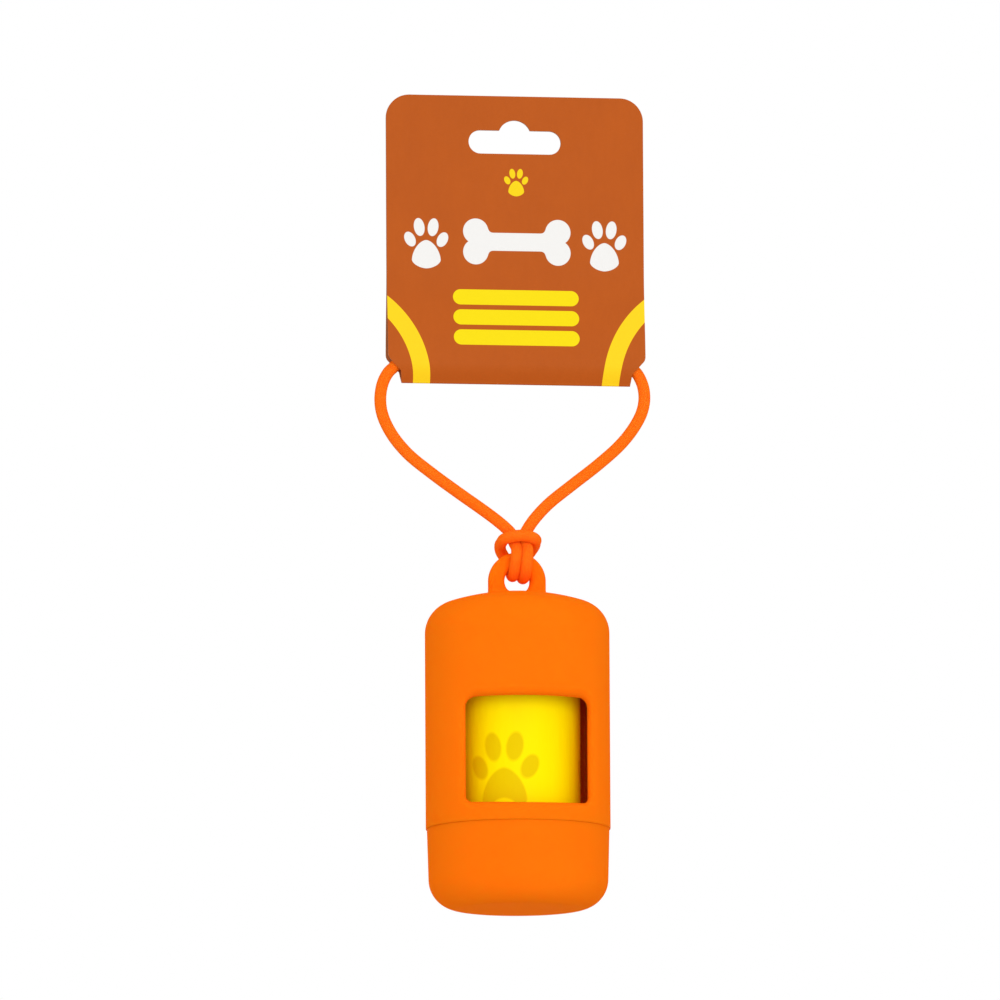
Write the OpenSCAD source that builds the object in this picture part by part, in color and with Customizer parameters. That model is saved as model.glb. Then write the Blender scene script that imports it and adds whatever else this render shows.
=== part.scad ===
// Dog waste bag dispenser of moulded silicone, hung by a cord from a folded header card.
// Millimetres. +Z is up and the window and the card's printed side face -Y. The origin is the
// centre of the card's hang slot, and everything hangs below it.

/* [Bag roll] */
// Outer diameter of the full roll
roll_d = 32.8; // [28:0.2:38]
// Length of the roll
roll_len = 60; // [50:0.5:70]
// Number of bags on the roll
bag_count = 15; // [10:1:20]
// Outer diameter of the paper core
core_d = 13; // [8:0.5:18]
// Wall of the paper core
core_wall = 1; // [0.5:0.1:2]

/* [Dispenser body] */
// Radial room between the roll and the inside of the neck
roll_clear = 2; // [1:0.1:4]
// Gap between the end of the roll and the cap's floor
roll_lift = 0.3; // [0.2:0.1:1]
// Free height between the top of the roll and the start of the dome
head_space = 8.7; // [4:0.1:20]
// Thickness of the body's side wall and dome
wall = 3; // [2:0.1:3.4]
// Radius of the dome's crown
crown_r = 60; // [40:1:90]
// Radius of the shoulder between the dome and the side wall
shoulder_r = 8.5; // [6:0.5:12]

/* [Window] */
// Width of the window
window_w = 32; // [20:0.5:34]
// Height of the window
window_h = 27.4; // [16:0.2:40]
// Height of the window's lower edge above the seam
window_sill = 5.1; // [3:0.1:8]
// Radius of the window's upper corners
window_corner_r = 2.5; // [1.5:0.1:5]
// Radius of the window's lower corners
window_low_r = 1.5; // [1:0.1:5]
// How far the lower edge bows down in the middle
window_bow = 0.5; // [0.3:0.1:1.5]

/* [Lug] */
// Width of the lug across its round arch
lug_w = 15; // [13:0.5:20]
// Thickness of the lug
lug_t = 4; // [3:0.1:4.5]
// Diameter of the lug's hole
lug_hole_d = 6.8; // [6.8:0.1:8]
// Radius of the lug's rounded edges
lug_edge_r = 1.4; // [0.8:0.1:1.45]
// Height of the hole's centre above the top of the dome
lug_hole_rise = 2.8; // [1.5:0.1:5]

/* [End cap] */
// Height of the cap
cap_h = 20.8; // [16:0.2:30]
// Wall of the cap outside the neck's socket
cap_wall = 2.8; // [2:0.1:4]
// Thickness of the cap's floor
cap_floor = 3; // [2:0.1:5]
// Radius of the rounded lower edge of the cap
cap_edge_r = 7.8; // [5:0.1:9]
// How much narrower the cap is at its lower edge than at its rim, on the radius
cap_draft = 0.35; // [0:0.05:0.8]
// How far the cap stands inside the body's outer surface
cap_inset = 0.3; // [0:0.05:0.6]
// Gap between the cap's rim and the body
seam_gap = 0.1; // [0.05:0.05:0.3]
// Length of the body's neck inside the cap
neck_len = 8; // [5:0.5:11]
// Wall of the neck, over its ribs
neck_wall = 2.45; // [1.6:0.05:3.5]
// Radial clearance between the neck's ribs and the cap's socket
neck_clear = 0.05; // [0.02:0.01:0.1]
// Radius of the rounded sealing ribs
rib_r = 0.9; // [0.6:0.1:1.2]
// Height of the ribs above the neck
rib_h = 0.35; // [0.2:0.05:0.5]
// Number of sealing ribs
rib_count = 2; // [1:1:3]
// Radius of the small rounded edges at the seam
rim_r = 0.4; // [0.2:0.1:0.8]

/* [Cord] */
// Diameter of the cord
cord_d = 3.1; // [2:0.1:3.1]
// How much the knot presses the cord in, on its radius
knot_press = 0.25; // [0:0.05:0.4]

/* [Header card] */
// Width of the card
card_w = 67.8; // [60:0.2:90]
// Height of the folded card
card_h = 75.9; // [70:0.1:120]
// Thickness of the board
board_t = 0.45; // [0.3:0.05:0.8]
// Radius of the card's top corners
card_corner_r = 6.1; // [2:0.1:10]
// Distance from the card's top edge to the centre of the hang slot
slot_drop = 12.1; // [10:0.1:20]
// Width of the hang slot
slot_w = 24.4; // [20:0.2:32]
// Height of the hang slot
slot_h = 6.2; // [5:0.1:8]
// Diameter of the round hump in the middle of the slot
hump_d = 8.8; // [7:0.1:10]
// How far the hump's centre lies above the slot's centre
hump_rise = 1.4; // [1:0.1:3]
// Width of the fold strip at the crease
fold_w = 60.2; // [50:0.2:64]
// Height of the fold strip below the ears
fold_h = 3; // [2:0.1:3.2]
// How much wider the fold strip is at its top, on each side
fold_flare = 0.4; // [0:0.1:1]
// Height over which each ear's lower corner is cut away
ear_cut_h = 4.7; // [2:0.1:8]
// Play around the cord inside the fold
fold_play = 0.4; // [0.3:0.05:1]
// Height above the crease where the fold is widest
fold_widest = 5.5; // [4:0.1:8]
// Height above the crease where the two panels meet
fold_close = 30; // [20:1:36]
// Thickness of the glue between the panels
glue_t = 0.12; // [0.05:0.01:0.3]
// Margin of the glue patch inside the card's sides, the slot and the fold
glue_margin = 3; // [1:0.5:8]

/* [Hidden] */
$fn = 96;
// Extra length with which a cut runs past a face
cut = 1;
// Steps in each quarter of a rounded edge of a turned outline
edge_steps = 8;

// Route of the cord inside the card's fold, from the left ear to the right ear
run_points = [
    [-32.5, 0, -60.0], [-30.6, 0, -58.4], [-27.2, 0, -57.4], [-22.5, 0, -58.0],
    [-16, 0, -59.0], [-8, 0, -59.4], [0, 0, -59.4], [8, 0, -59.4], [16, 0, -59.0],
    [22, 0, -58.0], [26.6, 0, -57.4], [29.8, 0, -58.4], [31.7, 0, -60.0],
];
// Route of the loop below the card: down the right leg, round the lug's bar, over both legs as
// the crossing strand, round the bar again and up the left leg
right_leg = [
    [32.5, 0, -61.1], [33.6, 0, -63.8], [33.9, 0, -67.2], [33.1, 0, -70.8], [30.8, 0, -75],
    [27.2, -0.1, -79.4], [21.4, -0.3, -84.6], [14.8, -0.5, -89.8], [8.5, -0.6, -94.9],
    [4.9, -0.7, -98.7], [3.1, -0.8, -101.2], [2, -1.1, -103.2],
];
right_hitch = [
    [1.75, -2, -105.25], [2.25, -3.5, -107.25], [2, -4.75, -109.75], [1.75, -4.25, -112.5],
    [1.75, -2, -114.25], [1.75, 0, -114.5], [1.75, 2, -114.25], [1.75, 4, -112.5],
    [2, 5, -110.5], [3.5, 5.25, -108.25], [4.5, 4.25, -106.75], [5, 2.25, -105.75],
    [4.75, -0.5, -105.25], [4.5, -3, -104.75], [3, -4.75, -104.25],
];
crossing = [[0.5, -5.25, -104]];
left_hitch = [
    [-2, -4.75, -104.25], [-3.75, -3, -104.75], [-4, -0.5, -105.25], [-4, 2.25, -105.75],
    [-3.5, 4.25, -107], [-2.5, 5, -108.5], [-1.75, 4.75, -110.75], [-1, 3.5, -112.75],
    [-1, 1.75, -113.75], [-1, 0, -114], [-1, -1.75, -113.75], [-1, -3.5, -112.25],
    [-0.75, -4.25, -109.75], [-0.5, -3.25, -107.25], [-1, -1.5, -105.25],
];
left_leg = [
    [-1.5, -1.1, -103.2], [-3.1, -0.8, -101.4], [-5.5, -0.7, -99.4], [-8.9, -0.6, -96.9],
    [-15.1, -0.5, -92.6], [-22.3, -0.3, -87.4], [-28.7, -0.1, -82.2], [-32.9, 0, -77],
    [-35.2, 0, -72], [-35.7, 0, -67.8], [-35, 0, -63.8], [-33.6, 0, -61.1],
];
loop_points = concat(right_leg, right_hitch, crossing, left_hitch, left_leg);
// The loop is pressed together below this height
knot_top_z = -102.5;
// Sides of the cord's tube
cord_sides = 8;

// Height of the lug's bar, where the knot holds it
lug_bar_z = -110;

// Radii, from the roll outwards
roll_r = roll_d / 2;
core_r = core_d / 2;
neck_in_r = roll_r + roll_clear;
neck_out_r = neck_in_r + neck_wall;
socket_r = neck_out_r + neck_clear;
cap_r = socket_r + cap_wall;
body_r = cap_r + cap_inset;
body_in_r = body_r - wall;
cap_low_r = cap_r - cap_draft;
dome_rise = crown_r - sqrt(pow(crown_r - shoulder_r, 2) - pow(body_r - shoulder_r, 2));

// Heights, from the lug's bar downwards
lug_bar = (lug_w - lug_hole_d) / 2;
lug_mean_r = (lug_w + lug_hole_d) / 4;
lug_hole_z = lug_bar_z - lug_mean_r;
apex_z = lug_hole_z - lug_hole_rise;
dome_z = apex_z - dome_rise;
roll_top_z = dome_z - head_space;
roll_z = roll_top_z - roll_len;
floor_z = roll_z - roll_lift;
base_z = floor_z - cap_floor;
rim_z = base_z + cap_h;
seam_z = rim_z + seam_gap;
neck_z = seam_z - neck_len;
window_z = seam_z + window_sill;

// Heights on the card
card_top_z = slot_drop;
crease_z = card_top_z - card_h;
pocket_half = cord_d / 2 + fold_play;
panel_half = glue_t / 2;

function bag_name(i) = str("bag_", i < 10 ? "0" : "", i);

// Points on an arc about [x, y], both ends included
function arc(x, y, r, from, to, steps = edge_steps) =
    [for (i = [0:steps]) let (a = from + (to - from) * i / steps) [x + r * cos(a), y + r * sin(a)]];

// ---- Cord -------------------------------------------------------------------------------

function unit(v) = v / norm(v);

// Direction of the route at point i
function along(p, i) = unit(p[min(i + 1, len(p) - 1)] - p[max(i - 1, 0)]);

// The part of v that is square to the unit vector t, as a unit vector
function square_to(v, t) = unit(v - t * (v * t));

// One side direction at each point of the route, carried along it without twist
function sides_along(p) = [
    for (i = 0, n = square_to([0, 1, 0.1], along(p, 0)); i < len(p);
         i = i + 1, n = i < len(p) ? square_to(n, along(p, i)) : n) n
];

function cord_radius(z) = cord_d / 2 - (z < knot_top_z ? knot_press : 0);

// A round cord as one closed solid, with one ring of corners at each point of its route
module tube(p) {
    n = sides_along(p);
    rings = [for (i = [0:len(p) - 1], k = [0:cord_sides - 1])
        let (t = along(p, i), a = 360 * k / cord_sides, r = cord_radius(p[i][2]))
        p[i] + r * (cos(a) * n[i] + sin(a) * cross(t, n[i]))];
    skin = [for (i = [0:len(p) - 2], k = [0:cord_sides - 1])
        let (a = i * cord_sides + k, b = i * cord_sides + (k + 1) % cord_sides)
        each [[a, a + cord_sides, b], [b, a + cord_sides, b + cord_sides]]];
    first = [for (k = [0:cord_sides - 1]) k];
    last = [for (k = [cord_sides - 1:-1:0]) (len(p) - 1) * cord_sides + k];
    polyhedron(points = rings, faces = concat(skin, [first, last]));
}

module cord_run() {
    color([1, 0.42, 0.11]) tube(run_points);
}

module cord_loop() {
    color([1, 0.42, 0.11]) tube(loop_points);
}

// ---- Header card ------------------------------------------------------------------------

// Half of the gap between the two panels at a height above the crease
function gap_half(h) =
    h <= fold_widest
    ? pocket_half * sin(90 * (h - board_t) / (fold_widest - board_t))
    : h < fold_close
    ? panel_half + (pocket_half - panel_half)
        * (1 + cos(180 * (h - fold_widest) / (fold_close - fold_widest))) / 2
    : panel_half;

// Heights at which the folded board's side view has points
fold_heights = concat(
    [for (i = [0:6]) board_t + (fold_widest - board_t) * i / 6],
    [for (i = [1:12]) fold_widest + (fold_close - fold_widest) * i / 12]
);

// Side view of the folded board, with the crease at the bottom: y across, z up
module fold_section() {
    outer = [for (h = fold_heights) [gap_half(h) + board_t, crease_z + h]];
    inner = [for (h = fold_heights) [gap_half(h), crease_z + h]];
    right_outer = concat([[board_t / 2, crease_z]], outer, [[panel_half + board_t, card_top_z + cut]]);
    right_inner = concat(inner, [[panel_half, card_top_z + cut]]);
    flip_outer = [for (i = [len(right_outer) - 1:-1:0]) [-right_outer[i][0], right_outer[i][1]]];
    flip_inner = [for (i = [len(right_inner) - 1:-1:1]) [-right_inner[i][0], right_inner[i][1]]];
    difference() {
        polygon(concat(right_outer, flip_outer));
        polygon(concat(right_inner, [[0, card_top_z + 2 * cut]], flip_inner));
    }
}

// Front view of the card: x across, z up
module card_outline() {
    half = card_w / 2;
    fold_half = fold_w / 2;
    ear_z = crease_z + fold_h;
    polygon([
        [-fold_half, crease_z], [fold_half, crease_z], [fold_half + fold_flare, ear_z],
        [half, ear_z + ear_cut_h], [half, card_top_z - card_corner_r],
        [half - card_corner_r, card_top_z - card_corner_r], [half - card_corner_r, card_top_z],
        [card_corner_r - half, card_top_z], [card_corner_r - half, card_top_z - card_corner_r],
        [-half, card_top_z - card_corner_r], [-half, ear_z + ear_cut_h],
        [-fold_half - fold_flare, ear_z],
    ]);
    for (side = [-1, 1]) {
        translate([side * (half - card_corner_r), card_top_z - card_corner_r])
            circle(r = card_corner_r);
    }
}

// Slot with round ends and a round hump above its middle
module hang_slot() {
    square([slot_w - slot_h, slot_h], center = true);
    for (side = [-1, 1]) {
        translate([side * (slot_w - slot_h) / 2, 0]) circle(d = slot_h);
    }
    intersection() {
        translate([0, hump_rise]) circle(d = hump_d);
        translate([-hump_d / 2, 0]) square(hump_d);
    }
}

module header_card() {
    depth = 2 * (pocket_half + board_t + cut);
    color([0.76, 0.35, 0.12])
    intersection() {
        rotate([90, 0, 90]) linear_extrude(height = card_w + 2 * cut, center = true) fold_section();
        rotate([90, 0, 0]) linear_extrude(height = depth, center = true) difference() {
            card_outline();
            hang_slot();
        }
    }
}

module card_glue() {
    top = -slot_h / 2 - glue_margin;
    bottom = crease_z + fold_close + glue_margin;
    width = card_w - 2 * glue_margin;
    color([0.9, 0.86, 0.7])
    translate([-width / 2, -glue_t / 2, bottom]) cube([width, glue_t, top - bottom]);
}

// ---- Dispenser body ---------------------------------------------------------------------

// Half section of the tube with its dome and neck: radius across, height up
module body_section() {
    shoulder_x = body_r - shoulder_r;
    crown_z = apex_z - crown_r;
    tangent = atan2(dome_z - crown_z, shoulder_x);
    neck_r = neck_out_r - rib_h;
    step = body_in_r - neck_in_r;
    difference() {
        polygon(concat(
            [[0, neck_z], [neck_r - rim_r, neck_z], [neck_r, neck_z + rim_r], [neck_r, seam_z]],
            arc(body_r - rim_r, seam_z + rim_r, rim_r, -90, 0, 4),
            arc(shoulder_x, dome_z, shoulder_r, 0, tangent, 2 * edge_steps),
            arc(0, crown_z, crown_r, tangent, 90, 2 * edge_steps)
        ));
        polygon(concat(
            [[0, neck_z - cut], [neck_in_r, neck_z - cut], [neck_in_r, seam_z],
             [body_in_r, seam_z + step]],
            arc(shoulder_x, dome_z, shoulder_r - wall, 0, tangent, 2 * edge_steps),
            arc(0, crown_z, crown_r - wall, tangent, 90, 2 * edge_steps)
        ));
    }
}

// Rounded sealing ribs, spread along the neck
module neck_ribs() {
    pitch = neck_len / (rib_count + 1);
    for (i = [1:rib_count]) {
        translate([0, 0, neck_z + i * pitch])
            rotate_extrude() translate([neck_out_r - rib_r, 0]) circle(r = rib_r, $fn = 32);
    }
}

// Front view of the window: x across, z up from its lower edge
module window_shape() {
    half = window_w / 2;
    low_x = half - window_low_r;
    high_x = half - window_corner_r;
    high_z = window_h - window_corner_r;
    bow_r = (pow(low_x, 2) + pow(window_bow, 2)) / (2 * window_bow);
    polygon([
        [-low_x, 0], [low_x, 0], [half, window_low_r], [half, high_z], [high_x, window_h],
        [-high_x, window_h], [-half, high_z], [-half, window_low_r],
    ]);
    for (side = [-1, 1]) {
        translate([side * low_x, window_low_r]) circle(r = window_low_r);
        translate([side * high_x, high_z]) circle(r = window_corner_r);
    }
    intersection() {
        translate([0, bow_r - window_bow]) circle(r = bow_r);
        translate([-low_x, -2 * window_bow]) square([2 * low_x, 3 * window_bow]);
    }
}

module window_cut() {
    translate([0, -body_in_r / 2, window_z])
        rotate([90, 0, 0]) linear_extrude(height = body_r) window_shape();
}

// Rounded square section of the lug's bar, centred
module lug_section() {
    square([lug_bar, lug_t - 2 * lug_edge_r], center = true);
    square([lug_bar - 2 * lug_edge_r, lug_t], center = true);
    for (x = [-1, 1], y = [-1, 1]) {
        translate([x * (lug_bar / 2 - lug_edge_r), y * (lug_t / 2 - lug_edge_r)])
            circle(r = lug_edge_r, $fn = 48);
    }
}

// Round arch on two legs, with a thinner web that closes the hole's lower half
module lug() {
    root_z = apex_z - wall / 2;
    web_t = lug_t - 0.6 * lug_edge_r;
    web_top = lug_hole_z - 0.08 * lug_hole_d;
    translate([0, 0, lug_hole_z]) rotate([90, 0, 0])
        rotate_extrude(angle = 180) translate([lug_mean_r, 0]) lug_section();
    for (side = [-1, 1]) {
        translate([side * lug_mean_r, 0, root_z])
            linear_extrude(height = lug_hole_z - root_z) lug_section();
    }
    difference() {
        translate([-lug_mean_r, -web_t / 2, root_z]) cube([2 * lug_mean_r, web_t, web_top - root_z]);
        translate([0, 0, lug_hole_z]) rotate([90, 0, 0])
            cylinder(d = lug_hole_d, h = lug_t + cut, center = true);
    }
}

module body_shell() {
    color([1, 0.47, 0.06]) {
        difference() {
            union() {
                rotate_extrude() body_section();
                neck_ribs();
            }
            window_cut();
        }
        lug();
    }
}

// ---- End cap ----------------------------------------------------------------------------

module end_cap() {
    flat_r = cap_low_r - cap_edge_r;
    inner_edge_r = 0.85 * roll_clear;
    socket_z = neck_z - 2 * seam_gap;
    color([1, 0.45, 0.04])
    rotate_extrude() difference() {
        polygon(concat(
            [[0, base_z]],
            arc(flat_r, base_z + cap_edge_r, cap_edge_r, -90, 0, 2 * edge_steps),
            arc(cap_r - rim_r, rim_z - rim_r, rim_r, 0, 90, 4),
            [[0, rim_z]]
        ));
        polygon(concat(
            [[0, floor_z]],
            arc(neck_in_r - inner_edge_r, floor_z + inner_edge_r, inner_edge_r, -90, 0),
            [[neck_in_r, socket_z], [socket_r, socket_z], [socket_r, rim_z + cut], [0, rim_z + cut]]
        ));
    }
}

// ---- Bag roll ---------------------------------------------------------------------------

// Every bag has the same length of film, so each ring has the same area
function bag_r(i) = sqrt(pow(core_r, 2) + (pow(roll_r, 2) - pow(core_r, 2)) * i / bag_count);

module ring(inner, outer) {
    translate([0, 0, roll_z]) difference() {
        cylinder(r = outer, h = roll_len);
        translate([0, 0, -cut]) cylinder(r = inner, h = roll_len + 2 * cut);
    }
}

module roll_core() {
    color([0.72, 0.6, 0.44]) ring(core_r - core_wall, core_r);
}

module bag(i) {
    color([1, 0.92, 0.05]) ring(bag_r(i - 1), bag_r(i));
}

header_card();
card_glue();
cord_run();
cord_loop();
body_shell();
end_cap();
roll_core();
for (i = [1:bag_count]) {
    bag(i);
}
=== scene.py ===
"""Dog waste bag dispenser on its header card: camera, cord, silicone body, roll and print."""

import math

import bmesh
import bpy
import numpy as np
from mathutils import Matrix, Vector


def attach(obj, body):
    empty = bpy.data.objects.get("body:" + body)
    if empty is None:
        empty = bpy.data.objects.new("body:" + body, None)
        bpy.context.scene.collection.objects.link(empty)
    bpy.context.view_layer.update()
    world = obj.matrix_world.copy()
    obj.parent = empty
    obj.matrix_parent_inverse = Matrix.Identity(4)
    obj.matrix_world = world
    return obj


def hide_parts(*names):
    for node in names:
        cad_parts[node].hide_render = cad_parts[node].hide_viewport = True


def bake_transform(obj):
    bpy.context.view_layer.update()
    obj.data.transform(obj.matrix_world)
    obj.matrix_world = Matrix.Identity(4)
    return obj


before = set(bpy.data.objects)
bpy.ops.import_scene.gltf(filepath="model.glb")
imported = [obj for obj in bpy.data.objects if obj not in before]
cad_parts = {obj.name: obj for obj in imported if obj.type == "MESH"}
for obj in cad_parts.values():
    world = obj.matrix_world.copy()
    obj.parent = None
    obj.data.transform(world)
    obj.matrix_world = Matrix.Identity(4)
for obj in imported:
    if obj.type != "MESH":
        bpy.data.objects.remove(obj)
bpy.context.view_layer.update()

# Shapes are written in millimetres, and add_mesh turns them into Blender's metres.
MM = 0.001
TINY = 1e-6

# ---- Heights and radii of the frame, in millimetres ---------------------------------------------

# Header card
CARD_TOP_Z = 12.1
CREASE_Z = -63.8

# Body: the centre of the lug's hole, the top of the dome and of the straight wall, the lower
# edge of the window, of the outer wall and of the neck that plugs into the cap
HOLE_Z = -115.45
APEX_Z = -118.25
DOME_Z = -129.138
WINDOW_Z = -175.138
SEAM_Z = -180.238
NECK_Z = -188.238
BODY_R = 24.0
BORE_R = 21.0
NECK_IN_R = 18.4
NECK_OUT_R = 20.85

# End cap: its rim, its inner floor and its underside
RIM_Z = -180.338
FLOOR_Z = -198.138
BASE_Z = -201.138
SOCKET_R = 20.9
CAP_R = 23.7
CAP_LOW_R = 23.35

# Roll of bags
ROLL_TOP_Z = -137.838
ROLL_Z = -197.838
ROLL_R = 16.4
CORE_R = 6.5
BAGS = 15


# ---- Camera -------------------------------------------------------------------------------------


def make_camera():
    """A long lens a little below and to the left of the window, as in the photograph."""
    azimuth, elevation, roll = (math.radians(v) for v in (-9.0, -7.5, 0.3))
    distance, view_width = 5.0, 0.25947
    aim_z, aim_right, aim_up = -0.2, -0.00427, 0.10509
    back = Vector((
        math.sin(azimuth) * math.cos(elevation),
        -math.cos(azimuth) * math.cos(elevation),
        math.sin(elevation),
    ))
    right = Vector((math.cos(azimuth), math.sin(azimuth), 0))
    up = back.cross(right)
    target = Vector((0, 0, aim_z)) + aim_right * right + aim_up * up
    across = math.cos(roll) * right - math.sin(roll) * up
    upward = math.sin(roll) * right + math.cos(roll) * up
    data = bpy.data.cameras.new("camera")
    data.sensor_width = 36
    data.lens = data.sensor_width * distance / view_width
    data.clip_end = 4 * distance
    camera = bpy.data.objects.new("camera", data)
    bpy.context.scene.collection.objects.link(camera)
    place = target + distance * back
    camera.matrix_world = Matrix((
        (across[0], upward[0], back[0], place[0]),
        (across[1], upward[1], back[1], place[1]),
        (across[2], upward[2], back[2], place[2]),
        (0, 0, 0, 1),
    ))
    bpy.context.scene.camera = camera


# ---- Mesh helpers -------------------------------------------------------------------------------


def add_mesh(name, points, faces, smooth=True, normals=None):
    """A mesh object from points in millimetres."""
    mesh = bpy.data.meshes.new(name)
    mesh.from_pydata([tuple(p) for p in np.asarray(points) * MM], [], [tuple(f) for f in faces])
    mesh.update()
    if smooth:
        mesh.polygons.foreach_set("use_smooth", [True] * len(mesh.polygons))
    if normals is not None:
        mesh.normals_split_custom_set_from_vertices([tuple(n) for n in normals])
    obj = bpy.data.objects.new(name, mesh)
    bpy.context.scene.collection.objects.link(obj)
    return obj


def crisp(obj, angle=40):
    """Keeps the edges sharper than this angle as edges in the shading."""
    bm = bmesh.new()
    bm.from_mesh(obj.data)
    bmesh.ops.recalc_face_normals(bm, faces=bm.faces)
    for edge in bm.edges:
        if len(edge.link_faces) == 2 and edge.calc_face_angle(0) > math.radians(angle):
            edge.smooth = False
    bm.to_mesh(obj.data)
    bm.free()


def wear(obj, *materials):
    """Gives the object these materials and no other."""
    obj.data.materials.clear()
    for material in materials:
        obj.data.materials.append(material)


def arc(x, z, r, start, end, steps=12):
    """Points on an arc about (x, z), both ends included, angles in degrees."""
    return [
        (x + r * math.cos(a), z + r * math.sin(a))
        for a in np.radians(np.linspace(start, end, steps + 1))
    ]


def spaced(outline, longest):
    """The closed outline with points added where its edges are longer than this, none twice."""
    out = []
    for a, b in zip(outline, outline[1:] + outline[:1]):
        if math.dist(a, b) < TINY:
            continue
        n = max(1, math.ceil(math.dist(a, b) / longest))
        out += [(a[0] + (b[0] - a[0]) * i / n, a[1] + (b[1] - a[1]) * i / n) for i in range(n)]
    return out


def turned(outline, sides=160):
    """Points and faces of a closed outline (radius, height) turned about Z. Radius 0 is a pole."""
    points, faces, rows = [], [], []
    for r, z in outline:
        if r < TINY:
            rows.append([len(points)] * sides)
            points.append((0, 0, z))
            continue
        rows.append(list(range(len(points), len(points) + sides)))
        for k in range(sides):
            a = 2 * math.pi * k / sides
            points.append((r * math.sin(a), -r * math.cos(a), z))
    for i in range(len(rows)):
        low, high = rows[i], rows[(i + 1) % len(rows)]
        for k in range(sides):
            m = (k + 1) % sides
            face = [low[k], low[m], high[m], high[k]]
            face = [v for j, v in enumerate(face) if v != face[j - 1]]
            if len(face) > 2:
                faces.append(face)
    return points, faces


def tube_faces(rings, sides, closed=False):
    """Faces between rings of this many points. In a closed tube the last ring joins the first."""
    faces = []
    for i in range(rings if closed else rings - 1):
        a, b = i * sides, ((i + 1) % rings) * sides
        for k in range(sides):
            m = (k + 1) % sides
            faces.append((a + k, a + m, b + m, b + k))
    return faces


# ---- Cord ---------------------------------------------------------------------------------------

# The route is the one in part.scad: the stretch in the card's fold, the right leg, the hitch
# round the lug's bar and the left leg. The two ends meet at JOIN, where the card hides them.
JOIN = (0, 0, -59.4)
RUN = [
    (-32.5, 0, -60.0), (-30.6, 0, -58.4), (-27.2, 0, -57.4), (-22.5, 0, -58.0),
    (-16, 0, -59.0), (-8, 0, -59.4), JOIN, (8, 0, -59.4), (16, 0, -59.0),
    (22, 0, -58.0), (26.6, 0, -57.4), (29.8, 0, -58.4), (31.7, 0, -60.0),
]
RIGHT_LEG = [
    (32.5, 0, -61.1), (33.6, 0, -63.8), (33.9, 0, -67.2), (33.1, 0, -70.8), (30.8, 0, -75),
    (27.2, -0.1, -79.4), (21.4, -0.3, -84.6), (14.8, -0.5, -89.8), (8.5, -0.6, -94.9),
    (4.9, -0.7, -98.7), (3.1, -0.8, -101.2), (2, -1.1, -103.2),
]
RIGHT_HITCH = [
    (1.75, -2, -105.25), (2.25, -3.5, -107.25), (2, -4.75, -109.75), (1.75, -4.25, -112.5),
    (1.75, -2, -114.25), (1.75, 0, -114.5), (1.75, 2, -114.25), (1.75, 4, -112.5),
    (2, 5, -110.5), (3.5, 5.25, -108.25), (4.5, 4.25, -106.75), (5, 2.25, -105.75),
    (4.75, -0.5, -105.25), (4.5, -3, -104.75), (3, -4.75, -104.25),
]
CROSSING = [(0.5, -5.25, -104)]
LEFT_HITCH = [
    (-2, -4.75, -104.25), (-3.75, -3, -104.75), (-4, -0.5, -105.25), (-4, 2.25, -105.75),
    (-3.5, 4.25, -107), (-2.5, 5, -108.5), (-1.75, 4.75, -110.75), (-1, 3.5, -112.75),
    (-1, 1.75, -113.75), (-1, 0, -114), (-1, -1.75, -113.75), (-1, -3.5, -112.25),
    (-0.75, -4.25, -109.75), (-0.5, -3.25, -107.25), (-1, -1.5, -105.25),
]
LEFT_LEG = [
    (-1.5, -1.1, -103.2), (-3.1, -0.8, -101.4), (-5.5, -0.7, -99.4), (-8.9, -0.6, -96.9),
    (-15.1, -0.5, -92.6), (-22.3, -0.3, -87.4), (-28.7, -0.1, -82.2), (-32.9, 0, -77),
    (-35.2, 0, -72), (-35.7, 0, -67.8), (-35, 0, -63.8), (-33.6, 0, -61.1),
]
CORD_R = 1.55
CORD_SIDES = 24

# The cord is pressed a little thinner in the knot, over the first KNOT_BLEND below KNOT_TOP_Z.
KNOT_R = 1.52
KNOT_TOP_Z = -101.5
KNOT_BLEND = 3


def smooth_route(points, spacing=0.5):
    """A smooth line through the points (centripetal Catmull-Rom), sampled about this often."""
    p = np.array(points, float)
    p = np.vstack([2 * p[0] - p[1], p, 2 * p[-1] - p[-2]])
    out = []
    for i in range(1, len(p) - 2):
        steps = [np.linalg.norm(p[i + k] - p[i + k - 1]) for k in range(3)]
        t = np.cumsum([0] + [max(step, TINY) ** 0.5 for step in steps])
        n = max(2, math.ceil(steps[1] / spacing))
        for u in np.linspace(t[1], t[2], n, endpoint=False):
            a = [
                ((t[k + 1] - u) * p[i - 1 + k] + (u - t[k]) * p[i + k]) / (t[k + 1] - t[k])
                for k in range(3)
            ]
            b = [
                ((t[k + 2] - u) * a[k] + (u - t[k]) * a[k + 1]) / (t[k + 2] - t[k])
                for k in range(2)
            ]
            out.append(((t[2] - u) * b[0] + (u - t[1]) * b[1]) / (t[2] - t[1]))
    out.append(p[-2])
    return np.array(out)


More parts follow.
